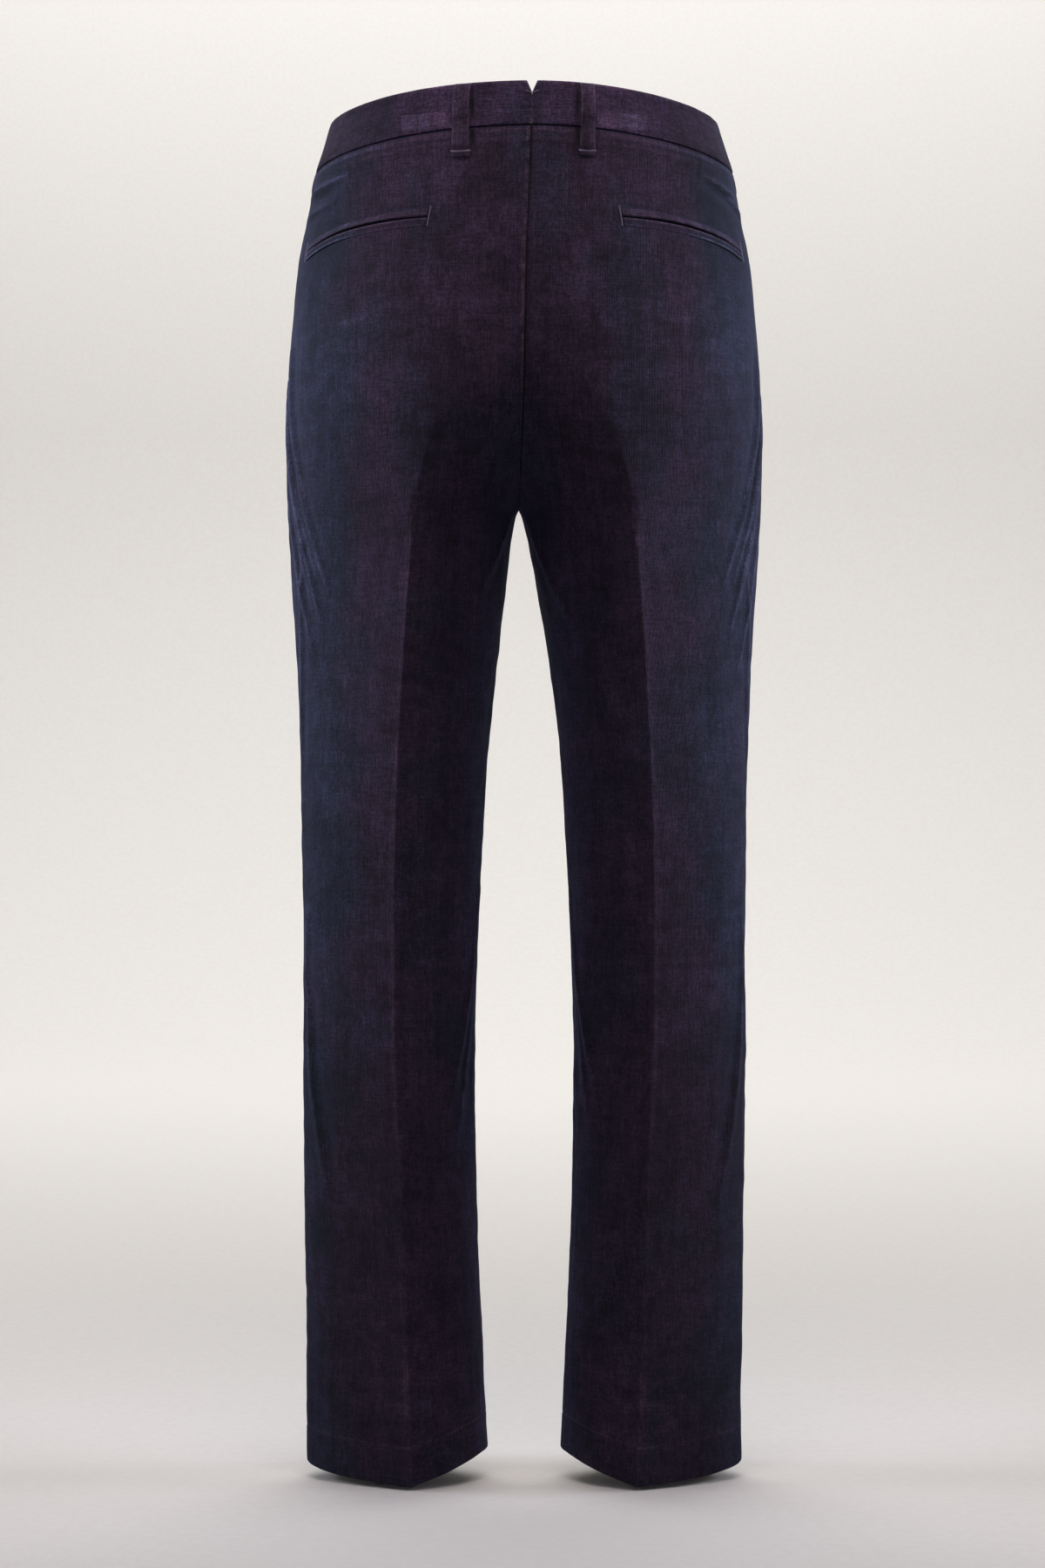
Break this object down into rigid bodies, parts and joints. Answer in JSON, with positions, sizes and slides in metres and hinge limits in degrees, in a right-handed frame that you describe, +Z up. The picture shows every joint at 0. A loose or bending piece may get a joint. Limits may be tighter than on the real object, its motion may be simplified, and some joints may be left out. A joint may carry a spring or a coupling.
{
  "type": "corduroy trousers",
  "caption": "Straight-leg corduroy trousers, hollow as if worn, with a belt-looped waistband, welt back pockets, a fly front and open hems.",
  "frame": {"origin": "mount waist: the middle of the waist opening, level with the top edge of the waistband at the sides", "axes": "+Z up, out of the waist; +Y out of the back (seat); +X towards the wearer's left leg"},
  "size_m": [0.3924, 0.2567, 1.1261],
  "materials": {
    "corduroy": "fine-wale cotton corduroy, dark navy, matt with a soft nap sheen",
    "button": "polyester button, near black, satin"
  },
  "bodies": {
    "root": {"back_left": "corduroy", "front_left": "corduroy", "waistband_left": "corduroy", "belt_loop_back_left": "corduroy", "belt_loop_side_left": "corduroy", "belt_loop_front_left": "corduroy", "pocket_welt_upper_left": "corduroy", "pocket_welt_lower_left": "corduroy", "back_right": "corduroy", "front_right": "corduroy", "waistband_right": "corduroy", "belt_loop_back_right": "corduroy", "belt_loop_side_right": "corduroy", "belt_loop_front_right": "corduroy", "pocket_welt_upper_right": "corduroy", "pocket_welt_lower_right": "corduroy", "fly_flap": "corduroy", "front_button": "button"}
  },
  "joints": []
}
